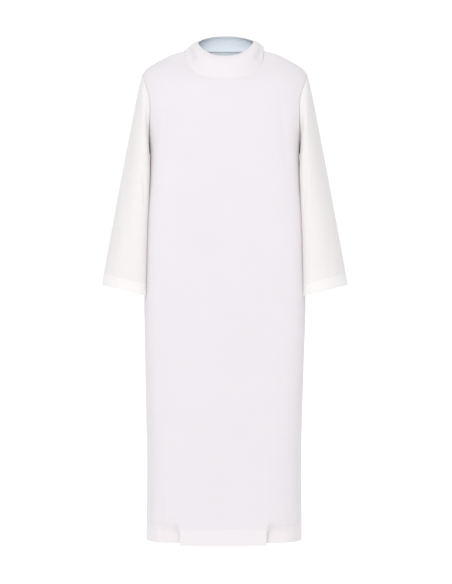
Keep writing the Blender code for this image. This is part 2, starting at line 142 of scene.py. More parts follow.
# Sleeve rings between an outer and an inner guide point.
# outer x, outer z, inner x, inner z, half depth, middle y, twist
SLEEVE_RINGS = (
    (SHOULDER_POINT_X, SHOULDER_POINT_Z, UNDERARM_X, UNDERARM_Z, 0.074, 0.000, 0.000),
    (0.2440, -0.100, 0.2135, -0.3000, 0.076, -0.008, 0.006),
    (0.2570, -0.160, 0.2131, -0.3190, 0.073, -0.022, 0.012),
    (0.2740, -0.255, 0.2134, -0.3550, 0.069, -0.037, 0.017),
    (0.2920, -0.357, 0.2173, -0.4150, 0.064, -0.049, 0.020),
    (0.3100, -0.459, 0.2211, -0.4900, 0.059, -0.058, 0.022),
    (0.3275, -0.556, 0.2236, -0.5800, 0.056, -0.063, 0.022),
    (0.3418, -0.636, 0.2251, -0.6650, 0.054, -0.066, 0.022),
    (0.3475, -0.669, 0.2256, -0.6980, 0.053, -0.067, 0.022),
)
SLEEVE_SQUARENESS = 2.15
# A ring's twist follows its slope, up to this much rise for its run.
MOST_TILT = 0.35
# The twist leaves a ring at least this share of its half width.
LEAST_NARROWING = 0.3
# Rings over which the armhole's own shape fades out of the sleeve.
ARMHOLE_FADE_RINGS = 1.6
# The cuff's turned hem lies between these two places in the table.
CUFF_HEM_RING = 7.0
CUFF_RING = 8.0
# The soft sleeves lie against the body, where the solids keep a gap.
# ring, distance
SLEEVE_LEANS_IN = (
    (0.0, 0.0),
    (1.0, 0.0),
    (2.0, 0.0005),
    (3.0, 0.0022),
    (4.0, 0.0036),
    (6.0, 0.0036),
    (8.0, 0.0040),
)

# Collar band above its base seam, up to its rim.
# half width, side z, front depth, front z, back depth, back z, droop
COLLAR_BAND = (
    (0.1050, 0.0080, 0.0915, -0.0690, 0.0712, 0.0150, 0.90),
    (0.0955, 0.0165, 0.0885, -0.0480, 0.0712, 0.0290, 1.05),
    (0.0860, 0.0225, 0.0795, -0.0310, 0.0680, 0.0400, 1.20),
    (0.0775, 0.0240, 0.0670, -0.0215, 0.0620, 0.0470, 1.35),
)
COLLAR_SQUARENESS = 2.25
# The band stands further out and higher on one side.
# extra half width, extra side z
COLLAR_LEAN = {"right": (0.0, 0.0), "left": (0.0055, 0.0030)}

# Heights along the shoulder seam, by share of the way from the shoulder point to the neck point.
# share, z
SHOULDER_HEIGHTS = (
    (0.00, SHOULDER_POINT_Z),
    (0.14, -0.050),
    (0.33, -0.035),
    (0.66, -0.014),
    (1.00, NECK_POINT_Z),
)

# Folds that open in the hem and close a little above its turned part.
# height, turn in degrees, width of the hidden layer
FOLD_DEPTHS = (
    (-1.400, 155.0, 0.0115),
    (-1.378, 115.0, 0.0100),
    (-1.358, 50.0, 0.0075),
    (-1.335, 12.0, 0.0055),
    (-1.300, 3.0, 0.0045),
    (-1.230, 0.0, 0.0040),
)
# A fold turns over a bend of three steps, and has this share of its turn at the first.
FOLD_TURN_STEP = 0.0027
FOLD_BEND = 3 * FOLD_TURN_STEP
FOLD_FIRST_SHARE = 0.30
FOLD_X = {
    ("front", "right"): 0.1265,
    ("front", "left"): 0.1175,
    ("back", "right"): 0.1050,
    ("back", "left"): 0.1130,
}
# The hem's side parts, past the folds, hang a little higher than its middle.
HEM_LIFT = 0.0065
HEM_LIFT_TOP = -1.200

# Between these heights the columns pass from keeping to the folds to even spacing.
EVEN_COLUMNS_ABOVE = -0.800
FOLDED_COLUMNS_BELOW = -1.220

# Soft troughs in the skirt, as a share of the way from the panel's middle to its side seam.
# panel, side, share, top, bottom, depth, half width
SOFT_TROUGHS = (
    ("front", "right", 0.80, -0.62, -1.40, 0.0050, 0.022),
    ("front", "left", 0.83, -0.66, -1.40, 0.0055, 0.020),
    ("front", "left", 0.22, -0.90, -1.40, 0.0030, 0.030),
    ("front", "right", 0.27, -1.00, -1.40, 0.0025, 0.030),
    ("back", "right", 0.78, -0.55, -1.40, 0.0060, 0.024),
    ("back", "left", 0.81, -0.60, -1.40, 0.0055, 0.022),
    ("back", "right", 0.16, -0.45, -1.40, 0.0040, 0.028),
    ("back", "left", 0.20, -0.70, -1.40, 0.0045, 0.030),
)
# A trough is at its full depth up to this share of its height, and flattens at the side seam.
TROUGH_FULL_SHARE = 0.35
TROUGH_SIDE_POWER = 6

# Rows and columns of the cloth.
HEM_ROWS = 10
SKIRT_ROWS = 150
ARMHOLE_ROWS = 36
YOKE_ROWS = 24
COLUMNS_TO_FOLD = 18
COLUMNS_IN_FOLD = 26
COLUMNS_PAST_FOLD = 20
HALF_COLUMNS = COLUMNS_TO_FOLD + COLUMNS_IN_FOLD + COLUMNS_PAST_FOLD
SLEEVE_ROWS = 110
SLEEVE_COLUMNS = 120
COLLAR_ROWS = 30
OUTLINE_STEPS = 360
EDGE_STEPS = 3
HEM_STITCH_ROW = HEM_ROWS - 2
COLLAR_STITCH_ROWS = (COLLAR_ROWS - 4, COLLAR_ROWS - 8)
# Distance to the points either side that give a row's direction.
DIRECTION_REACH = 0.002

# Creases listed in the view from in front or from behind. A negative depth is a ridge.
# piece, facing, path of (across, height) points, depth, half width
CREASES = (
    ("sleeve_right", "front", ((-0.2330, -0.325), (-0.2270, -0.390), (-0.2215, -0.463)), 0.0030, 0.0040),
    ("sleeve_right", "front", ((-0.262, -0.220), (-0.276, -0.330), (-0.285, -0.450)), 0.0015, 0.0100),
    ("sleeve_right", "front", ((-0.302, -0.430), (-0.292, -0.520), (-0.300, -0.620)), -0.0015, 0.0100),
    ("sleeve_right", "back", ((-0.250, -0.300), (-0.275, -0.360), (-0.300, -0.450)), 0.0030, 0.0090),
    ("sleeve_right", "back", ((-0.260, -0.470), (-0.275, -0.560), (-0.300, -0.650)), 0.0025, 0.0110),
    ("sleeve_left", "front", ((0.2330, -0.325), (0.2270, -0.390), (0.2215, -0.463)), 0.0030, 0.0040),
    ("sleeve_left", "front", ((0.258, -0.200), (0.272, -0.300), (0.290, -0.430)), 0.0015, 0.0100),
    ("sleeve_left", "front", ((0.290, -0.470), (0.300, -0.560), (0.296, -0.640)), 0.0015, 0.0090),
    ("sleeve_left", "back", ((0.248, -0.280), (0.272, -0.350), (0.302, -0.430)), 0.0030, 0.0090),
    ("sleeve_left", "back", ((0.245, -0.380), (0.262, -0.500), (0.285, -0.620)), 0.0025, 0.0100),
    ("front", "front", ((-0.150, -0.120), (-0.166, -0.230), (-0.180, -0.370)), 0.0018, 0.0120),
    ("front", "front", ((0.150, -0.130), (0.168, -0.240), (0.184, -0.400)), 0.0020, 0.0120),
    ("front", "front", ((-0.060, -0.520), (-0.072, -0.760), (-0.050, -1.020)), 0.0013, 0.0180),
    ("front", "front", ((0.076, -0.460), (0.062, -0.740), (0.085, -1.060)), 0.0015, 0.0180),
    ("front", "front", ((-0.178, -1.250), (-0.182, -1.320), (-0.176, -1.396)), 0.0025, 0.0070),
    ("front", "front", ((0.186, -1.280), (0.190, -1.335), (0.184, -1.396)), 0.0025, 0.0060),
    ("back", "back", ((-0.180, -0.200), (-0.142, -0.300), (-0.130, -0.440)), 0.0060, 0.0130),
    ("back", "back", ((0.182, -0.210), (0.150, -0.310), (0.135, -0.480)), 0.0065, 0.0130),
    ("back", "back", ((-0.020, -0.300), (-0.036, -0.620), (-0.015, -0.980)), 0.0040, 0.0180),
    ("back", "back", ((0.100, -0.560), (0.113, -0.840), (0.096, -1.180)), 0.0050, 0.0170),
    ("back", "back", ((-0.166, -0.640), (-0.150, -0.900), (-0.160, -1.200)), 0.0055, 0.0150),
    ("back", "back", ((-0.125, -0.016), (0.000, -0.013), (0.125, -0.016)), 0.0080, 0.0080),
    ("collar", "front", ((-0.104, 0.012), (-0.096, -0.012), (-0.084, -0.036)), 0.0040, 0.0090),
    ("collar", "front", ((0.110, 0.014), (0.101, -0.012), (0.088, -0.038)), 0.0040, 0.0090),
)
# Steps along a crease, the share of it that fades at each end, and how fast it fades where the
# cloth turns away.
CREASE_STEPS = 48
CREASE_END = 0.25
CREASE_TURN = 2

# Dips along the seams and the lines of stitches.
SEAM_DIP = 0.0004
SEAM_DIP_WIDTH = 0.0035
STITCH_DIP = 0.0005
STITCH_DIP_WIDTH = 0.0020

# Stitches: pitch along the line, length of the thread that shows and its radius.
STITCH_PITCH = 0.0034
STITCH_LENGTH = 0.0026
STITCH_RADIUS = 0.00022
# Its start in its pitch, stations along it and sides round it. Its arch, its depth in the cloth and
# the radius of its ends are shares of its radius.
STITCH_START = 0.15
STITCH_STATIONS = 5
STITCH_SIDES = 6
STITCH_ARCH = 1.5
STITCH_SINK = 0.7
STITCH_END = 0.35


def smooth(table, places):
    """Values of the table's other columns at these places in its first, on a smooth curve."""
    knots = np.array([row[0] for row in table])
    values = np.array([row[1:] for row in table])
    places = np.asarray(places, float)
    slopes = np.gradient(values, knots, axis=0)
    index = np.clip(np.searchsorted(knots, places) - 1, 0, len(knots) - 2)
    width = (knots[index + 1] - knots[index])[..., None]
    share = np.clip((places - knots[index])[..., None] / width, 0.0, 1.0)
    start = values[index] * (1 + 2 * share) * (1 - share) ** 2
    end = values[index + 1] * share**2 * (3 - 2 * share)
    leave = slopes[index] * width * share * (1 - share) ** 2
    arrive = slopes[index + 1] * width * share**2 * (share - 1)
    return start + end + leave + arrive


def ease(value, low, high):
    """0 below low, 1 above high, and a smooth step between."""
    share = np.clip((value - low) / (high - low), 0.0, 1.0)
    return share * share * (3 - 2 * share)


def unit(vectors):
    return vectors / np.linalg.norm(vectors, axis=-1, keepdims=True)


def body_ring(panel, side_name, heights):
    """Half width, depth and squareness of the body's rings at these heights."""
    widths = smooth(BODY_WIDTHS, heights)[..., 0 if side_name == "right" else 1]
    shapes = smooth(FRONT_DEPTHS if panel == "front" else BACK_DEPTHS, heights)
    return widths, shapes[..., 0], shapes[..., 1]


def armhole_edge(panel, angle):
    """Height and depth of the armhole seam: angle 0 at the shoulder point and pi at the underarm."""
    middle_z = (SHOULDER_POINT_Z + UNDERARM_Z) / 2
    radius_z = (SHOULDER_POINT_Z - UNDERARM_Z) / 2
    fullness = 1 - ARMHOLE_LOW_FULLNESS * math.cos(angle)
    depth = ARMHOLE_HALF_DEPTH[panel] * math.sin(angle) * fullness
    return middle_z + radius_z * math.cos(angle), max(depth, SEAM_GAP / 2)


def armhole_point(panel, side_name, angle):
    """Point of the armhole seam, on the body's ring at its height."""
    height, depth = armhole_edge(panel, angle)
    width, ring_depth, squareness = body_ring(panel, side_name, height)
    x = width * (1 - (depth / ring_depth) ** squareness) ** (1 / squareness)
    return np.array((SIDES[side_name] * x, FACING[panel] * depth, height))


def level_outline(panel, side_name, height):
    """Dense points of one half of a level row, from the panel's middle to its side seam."""
    width, depth, squareness = body_ring(panel, side_name, height)
    last = math.acos((SEAM_GAP / 2 / depth) ** (squareness / 2))
    angle = np.linspace(0.0, last, OUTLINE_STEPS)
    x = width * np.sin(angle) ** (2 / squareness)
    y = depth * np.cos(angle) ** (2 / squareness)
    z = np.full(OUTLINE_STEPS, height)
    return np.stack((SIDES[side_name] * x, FACING[panel] * y, z), axis=1)


def seam_outline(panel, side_name, edge_x, edge_height, middle_height, droop):
    """Dense points of one half of a row that ends on the armhole or the shoulder seam."""
    angle = np.linspace(0.0, math.pi / 2, OUTLINE_STEPS)
    x = edge_x * np.sin(angle) ** ROW_POWER
    z = edge_height + (middle_height - edge_height) * np.cos(angle) ** droop
    width, depth, squareness = body_ring(panel, side_name, z)
    across = np.clip(x / width, 0.0, 1.0)
    y = depth * (1 - across**squareness) ** (1 / squareness)
    y = np.maximum(y, SEAM_GAP / 2)
    return np.stack((SIDES[side_name] * x, FACING[panel] * y, z), axis=1)


def lengths_along(points):
    steps = np.linalg.norm(np.diff(points, axis=0), axis=1)
    return np.concatenate(((0.0,), np.cumsum(steps)))


def read_along(lengths, points, at):
    return np.stack([np.interp(at, lengths, points[:, axis]) for axis in range(3)], axis=1)


def columns_of(height, length, fold_at):
    """Distance along the row and depth into the body of each column of one half row."""
    turn, middle = smooth(FOLD_DEPTHS, height)
    fold_length = 2 * FOLD_BEND + middle
    step = fold_length / COLUMNS_IN_FOLD
    place = (np.arange(COLUMNS_IN_FOLD) + 0.5) * step
    bend = np.minimum(np.minimum(place, fold_length - place) / FOLD_BEND, 1.0)
    headings = math.radians(turn) * np.sin(math.pi / 2 * bend)
    start = fold_at - FOLD_TURN_STEP * math.cos(FOLD_FIRST_SHARE * math.radians(turn))
    along = start + np.cumsum(step * np.cos(headings))
    deep = np.cumsum(step * np.sin(headings))
    past = np.linspace(0.0, 1.0, COLUMNS_PAST_FOLD + 1)[1:]
    before = np.linspace(0.0, start, COLUMNS_TO_FOLD + 1)
    distance = np.concatenate((before, along, along[-1] + (length - along[-1]) * past))
    flattening = deep[-1] * (1 - ease(past, 0.0, 1.0))
    depth = np.concatenate((np.zeros(COLUMNS_TO_FOLD + 1), deep, flattening))
    even = np.linspace(0.0, length, len(distance))
    spread = ease(height, FOLDED_COLUMNS_BELOW, EVEN_COLUMNS_ABOVE)
    return distance + (even - distance) * spread, depth * (1 - spread)


def trough_depth(panel, side_name, share, height):
    """Depth of the soft troughs at this share of the way to the side seam."""
    total = np.zeros_like(share)
    for name, side, place, top, bottom, depth, half_width in SOFT_TROUGHS:
        if (name, side) == (panel, side_name):
            fade = 1 - ease(height, bottom + TROUGH_FULL_SHARE * (top - bottom), top)
            across = (share - place) / (half_width / UNDERARM_X)
            total += depth * fade * np.exp(-(across**2)) * (1 - share**TROUGH_SIDE_POWER)
    return total


def half_row(panel, side_name, outline, folded):
    """Points of the columns of one half of a row, middle first."""
    lengths = lengths_along(outline)
    height = outline[0, 2]
    if folded:
        fold_at = float(np.interp(FOLD_X[panel, side_name], np.abs(outline[:, 0]), lengths))
        distance, depth = columns_of(height, lengths[-1], fold_at)
    else:
        distance = np.linspace(0.0, lengths[-1], HALF_COLUMNS + 1)
        depth = np.zeros_like(distance)
    depth = depth + trough_depth(panel, side_name, distance / lengths[-1], height)
    points = read_along(lengths, outline, distance)
    ahead = read_along(lengths, outline, np.minimum(distance + DIRECTION_REACH, lengths[-1]))
    behind = read_along(lengths, outline, np.maximum(distance - DIRECTION_REACH, 0.0))
    along = ahead - behind
    outward = unit(np.stack((-along[:, 1], along[:, 0], np.zeros(len(along))), axis=1))
    outward *= np.sign(np.sum(outward * points * (1, 1, 0), axis=1))[:, None]
    points = points - outward * depth[:, None]
    past_fold = ease(np.arange(len(points)), COLUMNS_TO_FOLD, HALF_COLUMNS - COLUMNS_PAST_FOLD)
    points[:, 2] += HEM_LIFT * past_fold * (1 - ease(height, -GARMENT_LENGTH, HEM_LIFT_TOP))
    return points


def panel_row(panel, outline_of, folded):
    """Both halves of a row as one, running round the body the same way on both panels."""
    right, left = (half_row(panel, name, outline_of(name), folded) for name in SIDES)
    across = np.concatenate((right[::-1], left[1:]))
    return across if panel == "front" else across[::-1]


def armhole_row(panel, share):
    """Row that ends on the armhole: share 0 runs through the underarm and share 1 the shoulder point."""
    angle = math.pi * (1 - share)
    edge = armhole_edge(panel, angle)[0]
    middle = UNDERARM_Z + (SHOULDER_ROW_Z[panel] - UNDERARM_Z) * share
    droop = float(smooth(ARMHOLE_DROOP, share)[0])

    def outline(name):
        edge_x = abs(armhole_point(panel, name, angle)[0])
        return seam_outline(panel, name, edge_x, edge, middle, droop)

    return panel_row(panel, outline, False)


def yoke_row(panel, share):
    """Row above the shoulder points: share 0 runs through them and share 1 is the neck seam."""
    shoulder_row_z = SHOULDER_ROW_Z[panel]
    neck_z = FRONT_NECK_Z if panel == "front" else BACK_NECK_Z
    edge = float(smooth(SHOULDER_HEIGHTS, share)[0])
    middle = shoulder_row_z + (neck_z - shoulder_row_z) * share
    droop = float(smooth(YOKE_DROOP, share)[0])

    def outline(name):
        edge_x = float(body_ring(panel, name, edge)[0])
        return seam_outline(panel, name, edge_x, edge, middle, droop)

    return panel_row(panel, outline, False)


def panel_grid(panel):
    """Rows of the front or the back, hem first."""
    hem_line = -GARMENT_LENGTH + HEM_HEIGHT
    in_hem = np.linspace(-GARMENT_LENGTH, hem_line, HEM_ROWS)
    above = np.linspace(hem_line, UNDERARM_Z, SKIRT_ROWS + 1)[1:-1]
    rows = []
    for height in np.concatenate((in_hem, above)):
        rows.append(panel_row(panel, lambda name: level_outline(panel, name, height), True))
    for index in range(ARMHOLE_ROWS):
        rows.append(armhole_row(panel, index / ARMHOLE_ROWS))
    for index in range(YOKE_ROWS + 1):
        rows.append(yoke_row(panel, index / YOKE_ROWS))
    return np.array(rows)


def armhole_loop(side_name, angles):
    """Points of a whole armhole seam at these angles from the shoulder point, round by the front."""
    loop = []
    for angle in angles:
        panel = "front" if angle <= math.pi else "back"
        seam_angle = angle if panel == "front" else 2 * math.pi - angle
        loop.append(armhole_point(panel, side_name, seam_angle))
    return np.array(loop)


def sleeve_grid(side_name):
    """Rows of one sleeve, cuff first, with columns that run round it anticlockwise from above."""
    side = SIDES[side_name]
    table = [(float(index), *ring) for index, ring in enumerate(SLEEVE_RINGS)]
    angles = np.arange(SLEEVE_COLUMNS) * 2 * math.pi / SLEEVE_COLUMNS
    power = 2 / SLEEVE_SQUARENESS
    across = np.sign(np.cos(angles)) * np.abs(np.cos(angles)) ** power
    ahead = np.sign(np.sin(angles)) * np.abs(np.sin(angles)) ** power
    armhole = armhole_loop(side_name, angles)
    armhole[:, 0] += side * SEAM_GAP
    rings = []
    for place in sleeve_places():
        outer_x, outer_z, inner_x, inner_z, half_depth, middle_y, twist = smooth(table, place)
        inner_x -= float(smooth(SLEEVE_LEANS_IN, place)[0])
        half_x = (outer_x - inner_x) / 2
        narrowed = math.sqrt(max(half_x**2 - twist**2, (LEAST_NARROWING * half_x) ** 2))
        x = (outer_x + inner_x) / 2 + narrowed * across - twist * ahead
        y = middle_y - half_depth * ahead
        tilt = min((outer_z - inner_z) / (outer_x - inner_x), MOST_TILT)
        z = (outer_z + inner_z) / 2 + (outer_z - inner_z) / 2 * across - tilt * twist * ahead
        ring = np.stack((side * x, y, z), axis=1)
        if place == 0.0:
            from_armhole = armhole - ring
        rings.append(ring + from_armhole * max(0.0, 1 - place / ARMHOLE_FADE_RINGS) ** 2)
    grid = np.array(rings)[::-1]
    return grid[:, ::-1] if side_name == "left" else grid


def sleeve_places():
    """Places along the sleeve, counted in rings of its table, armhole first."""
    above = np.linspace(0.0, CUFF_HEM_RING, SLEEVE_ROWS - HEM_ROWS)
    return np.concatenate((above, np.linspace(CUFF_HEM_RING, CUFF_RING, HEM_ROWS + 1)[1:]))


def collar_outline(side_name, panel, half_width, side_z, depth, middle_z, droop):
    """Dense points of one half of a collar row, from its middle to the shoulder."""
    wider, higher = COLLAR_LEAN[side_name]
    half_width = half_width + wider
    side_z = side_z + higher
    angle = np.linspace(0.0, math.pi / 2, OUTLINE_STEPS)
    x = half_width * np.sin(angle) ** (2 / COLLAR_SQUARENESS)
    y = np.maximum(depth * np.cos(angle) ** (2 / COLLAR_SQUARENESS), SEAM_GAP / 2)
    z = side_z + (middle_z - side_z) * np.cos(angle) ** droop
    return np.stack((SIDES[side_name] * x, FACING[panel] * y, z), axis=1)


def collar_row(half_width, side_z, front_depth, front_z, back_depth, back_z, droop):
    front = panel_row(
        "front",
        lambda name: collar_outline(name, "front", half_width, side_z, front_depth, front_z, droop),
        False,
    )
    back = panel_row(
        "back",
        lambda name: collar_outline(name, "back", half_width, side_z, back_depth, back_z, droop),
        False,
    )
    return np.concatenate((front, back[1:]))


def collar_grid():
    """Rows of the collar band, base seam first. Its two ends meet over the wearer's right shoulder."""
    neck_seam = np.concatenate((yoke_row("front", 1.0), yoke_row("back", 1.0)[1:]))
    guides = np.array([neck_seam] + [collar_row(*row) for row in COLLAR_BAND])
    rise = guides[1] - guides[0]
    guides[0] += unit(rise) * SEAM_GAP
    table = [(float(index), *row.ravel()) for index, row in enumerate(guides)]
    places = np.linspace(0.0, len(guides) - 1.0, COLLAR_ROWS)
    return smooth(table, places).reshape(COLLAR_ROWS, -1, 3)


def surface_normals(grid, wraps):
    """Unit normals of a grid of points, columns running round the body and rows running up."""
    if wraps:
        padded = np.concatenate((grid[:, -1:], grid, grid[:, :1]), axis=1)
        along = np.gradient(padded, axis=1)[:, 1:-1]
    else:
        along = np.gradient(grid, axis=1)
    return unit(np.cross(along, np.gradient(grid, axis=0)))


def crease_depth(name, grid, normals):
    """Depth of the listed creases at each point of a piece."""
    total = np.zeros(grid.shape[:2])
    for piece, facing, path, depth, half_width in CREASES:
        if piece != name:
            continue
        table = [(float(index), *point) for index, point in enumerate(path)]
        places = np.linspace(0.0, len(path) - 1.0, CREASE_STEPS)
        line = smooth(table, places)
        gap = grid[:, :, None, ::2] - line
        apart = np.linalg.norm(gap, axis=3)
        nearest = np.argmin(apart, axis=2)
        distance = np.min(apart, axis=2)
        along = nearest / (len(places) - 1)
        fade = ease(along, 0.0, CREASE_END) * (1 - ease(along, 1 - CREASE_END, 1.0))
        turned = np.clip(CREASE_TURN * FACING[facing] * normals[:, :, 1], 0.0, 1.0)
        total += depth * fade * turned * np.exp(-((distance / half_width) ** 2))
    return total


def row_distance(grid, row):
    """Mean distance of each row from one of them, along the cloth."""
    steps = np.linalg.norm(np.diff(grid, axis=0), axis=2).mean(axis=1)
    height = np.concatenate(((0.0,), np.cumsum(steps)))
    return height - height[row]


def distance_across(grid):
    """Distance of each point from the start of its row, along the cloth."""
    steps = np.linalg.norm(np.diff(grid, axis=1), axis=2)
    return np.concatenate((np.zeros((len(grid), 1)), np.cumsum(steps, axis=1)), axis=1)


def edge_distance(grid):
    """Distance of each point from the nearer side edge of its row, along the cloth."""
    across = distance_across(grid)
    return np.minimum(across, across[:, -1:] - across)


def dip(distance, depth, half_width):
    return depth * np.exp(-((distance / half_width) ** 2))


def folded_edge(outer_row, inner_row, outward):
    """Rows round a folded edge, from the outer face to the inner one."""
    middle = (outer_row + inner_row) / 2
    half = (outer_row - inner_row) / 2
    reach = np.linalg.norm(half, axis=1)[:, None] * outward
    rows = []
    for step in range(1, EDGE_STEPS + 1):
        angle = math.pi * step / (EDGE_STEPS + 1)
        rows.append(middle + half * math.cos(angle) + reach * math.sin(angle))
    return rows


def cloth_mesh(name, grid, thickness, doubled, wraps):
    """Thin closed shell: up the outside, round the top edge, down the inside and round the bottom edge."""
    normals = surface_normals(grid, wraps)
    inner = grid - normals * np.asarray(thickness)[:, None, None]
    top = folded_edge(grid[-1], inner[-1], unit(grid[-1] - grid[-2]))
    bottom = folded_edge(inner[0], grid[0], unit(grid[0] - grid[1]))
    loop = np.concatenate((grid, top, inner[::-1], bottom))
    row_count = len(grid)
    loop_count, column_count = loop.shape[:2]
    top_doubled = np.full(EDGE_STEPS, doubled[-1])
    bottom_doubled = np.full(EDGE_STEPS, doubled[0])
    loop_doubled = np.concatenate((doubled, top_doubled, doubled[::-1], bottom_doubled))
    faces = []
    materials = []
    uvs = []
    across = distance_across(grid)
    across -= across[:, -1:] / 2
    up = row_distance(grid, 0)
    last = column_count if wraps else column_count - 1
    closing = np.linalg.norm(grid[:, 0] - grid[:, -1], axis=1) if wraps else np.zeros(row_count)

    def source_row(index):
        if index < row_count:
            return index
        if index < row_count + EDGE_STEPS:
            return row_count - 1
        if index < 2 * row_count + EDGE_STEPS:
            return 2 * row_count + EDGE_STEPS - 1 - index
        return 0

    for row in range(loop_count):
        following_row = (row + 1) % loop_count
        inside = row_count + EDGE_STEPS <= row < 2 * row_count + EDGE_STEPS - 1
        low, high = source_row(row), source_row(following_row)
        for column in range(last):
            following = (column + 1) % column_count
            faces.append(
                (
                    row * column_count + column,
                    row * column_count + following,
                    following_row * column_count + following,
                    following_row * column_count + column,
                )
            )
            materials.append(1 if inside else 0)
            ends = []
            for source, place in ((low, column), (low, column + 1), (high, column + 1), (high, column)):
                if place < column_count:
                    u = across[source, place]
                else:
                    u = across[source, -1] + closing[source]
                ends.append((u, up[source]))
            uvs.extend(ends)
    if not wraps:
        for column, flip in ((0, True), (column_count - 1, False)):
            for row in range(row_count - 1):
                mirrored = 2 * row_count + EDGE_STEPS - 1 - row
                quad = (
                    row * column_count + column,
                    mirrored * column_count + column,
                    (mirrored - 1) * column_count + column,
                    (row + 1) * column_count + column,
                )
                quad = quad[::-1] if flip else quad
                faces.append(quad)
                materials.append(0)
                uvs.extend([(across[row, column], up[row])] * 4)
            for rows, source in (
                (list(range(row_count - 1, row_count + EDGE_STEPS + 1)), row_count - 1),
                (list(range(2 * row_count + EDGE_STEPS - 1, loop_count)) + [0], 0),
            ):
                cap = [row * column_count + column for row in rows]
                cap = cap if flip else cap[::-1]
                faces.append(tuple(cap))
                materials.append(0)
                uvs.extend([(across[source, column], up[source])] * len(cap))
    mesh = bpy.data.meshes.new(name)
    mesh.from_pydata(loop.reshape(-1, 3).tolist(), [], faces)
    mesh.polygons.foreach_set("material_index", materials)
    layer = mesh.uv_layers.new(name="cloth")
    layer.data.foreach_set("uv", np.array(uvs, dtype=np.float32).ravel())
    attribute = mesh.attributes.new("doubled", "FLOAT", "POINT")
    attribute.data.foreach_set("value", np.repeat(loop_doubled, column_count).astype(np.float32))
    mesh.shade_smooth()
    mesh.validate()
    return mesh


def add_object(name, mesh, materials):
    for material in materials:
        mesh.materials.append(material)
    piece = bpy.data.objects.new(name, mesh)
    bpy.context.scene.collection.objects.link(piece)
    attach(piece, "root")
    return piece


def stitch_line(points, normals):
    """Vertices and faces of a row of stitches on this line."""
    lengths = lengths_along(points)
    count = int(lengths[-1] / STITCH_PITCH)
    starts = (np.arange(count) + STITCH_START) * lengths[-1] / count
    stations = np.linspace(0.0, 1.0, STITCH_STATIONS)
    corners = np.arange(STITCH_SIDES) * 2 * math.pi / STITCH_SIDES
    vertices = []
    faces = []
    for start in starts:
        at = start + stations * STITCH_LENGTH
        centre = read_along(lengths, points, at)
        facing = unit(read_along(lengths, normals, at))
        ahead = unit(np.gradient(centre, axis=0))
        sideways = unit(np.cross(ahead, facing))
        arch = np.sin(math.pi * stations)
        lift = STITCH_RADIUS * (STITCH_ARCH * arch - STITCH_SINK)
        radius = STITCH_RADIUS * (STITCH_END + (1 - STITCH_END) * arch)
        base = len(vertices)
        for index in range(STITCH_STATIONS):
            middle = centre[index] + facing[index] * lift[index]
            for corner in corners:
                spoke = sideways[index] * math.cos(corner) + facing[index] * math.sin(corner)
                vertices.append(middle + spoke * radius[index])
        for index in range(STITCH_STATIONS - 1):
            near = base + index * STITCH_SIDES
            far = near + STITCH_SIDES
            for corner in range(STITCH_SIDES):
                following = (corner + 1) % STITCH_SIDES
                faces.append((near + corner, far + corner, far + following, near + following))
        end = base + (STITCH_STATIONS - 1) * STITCH_SIDES
        faces.append(tuple(base + corner for corner in range(STITCH_SIDES)))
        faces.append(tuple(end + corner for corner in reversed(range(STITCH_SIDES))))
    return vertices, faces


def add_stitches(name, lines, material):
    """One piece that holds the stitches of these lines, each a row of points with its normals."""
    vertices = []
    faces = []
    for points, normals in lines:
        line_vertices, line_faces = stitch_line(points, normals)
        base = len(vertices)
        vertices.extend(line_vertices)
        faces.extend(tuple(base + corner for corner in face) for face in line_faces)
    mesh = bpy.data.meshes.new(name)
    mesh.from_pydata([tuple(vertex) for vertex in vertices], [], faces)
    mesh.shade_smooth()
    piece = add_object(name, mesh, [material])
    return piece


# Colours of one layer and of doubled cloth, outside, on the sleeves and inside. The cloth is one and the
# same throughout: the sleeves' and the inside's own colours are painted light.
OUTSIDE_SINGLE = (0.800, 0.752, 0.770, 1.0)
OUTSIDE_DOUBLED = (0.830, 0.780, 0.785, 1.0)
# Sleeves: warmer and lighter than the body, painted warm light bounced between sleeve and body.
SLEEVE_SINGLE_PAINTED_WARM_BOUNCE = (0.836, 0.798, 0.778, 1.0)
SLEEVE_DOUBLED_PAINTED_WARM_BOUNCE = (0.885, 0.850, 0.825, 1.0)
# Inside: pale blue and lighter than the outside, painted cool light of the shaded inside of the garment.
INSIDE_SINGLE_PAINTED_COOL_LIGHT = (0.900, 0.950, 1.000, 1.0)
INSIDE_DOUBLED_PAINTED_COOL_LIGHT = (0.880, 0.940, 1.000, 1.0)
SHEEN_ROUGHNESS = 0.5
CLOTH_SPECULAR = 0.25

# Weave: threads and their unevenness, thicker threads, and the relief of both in metres.
THREADS_SCALE = 350.0
THREADS_DISTORTION = 0.4
SLUB_SCALE = 180.0
SLUB_DETAIL = 4.0
WEAVE_STRENGTH = 0.25
WEAVE_HEIGHT = 0.0001

# Soft patches of slightly lighter and darker cloth.
PATCHES_SCALE = 9.0
PATCHES_DARKEST = 0.985
PATCHES_LIGHTEST = 1.015


def link(tree, source, output, target, socket):
    tree.links.new(source.outputs[output], target.inputs[socket])


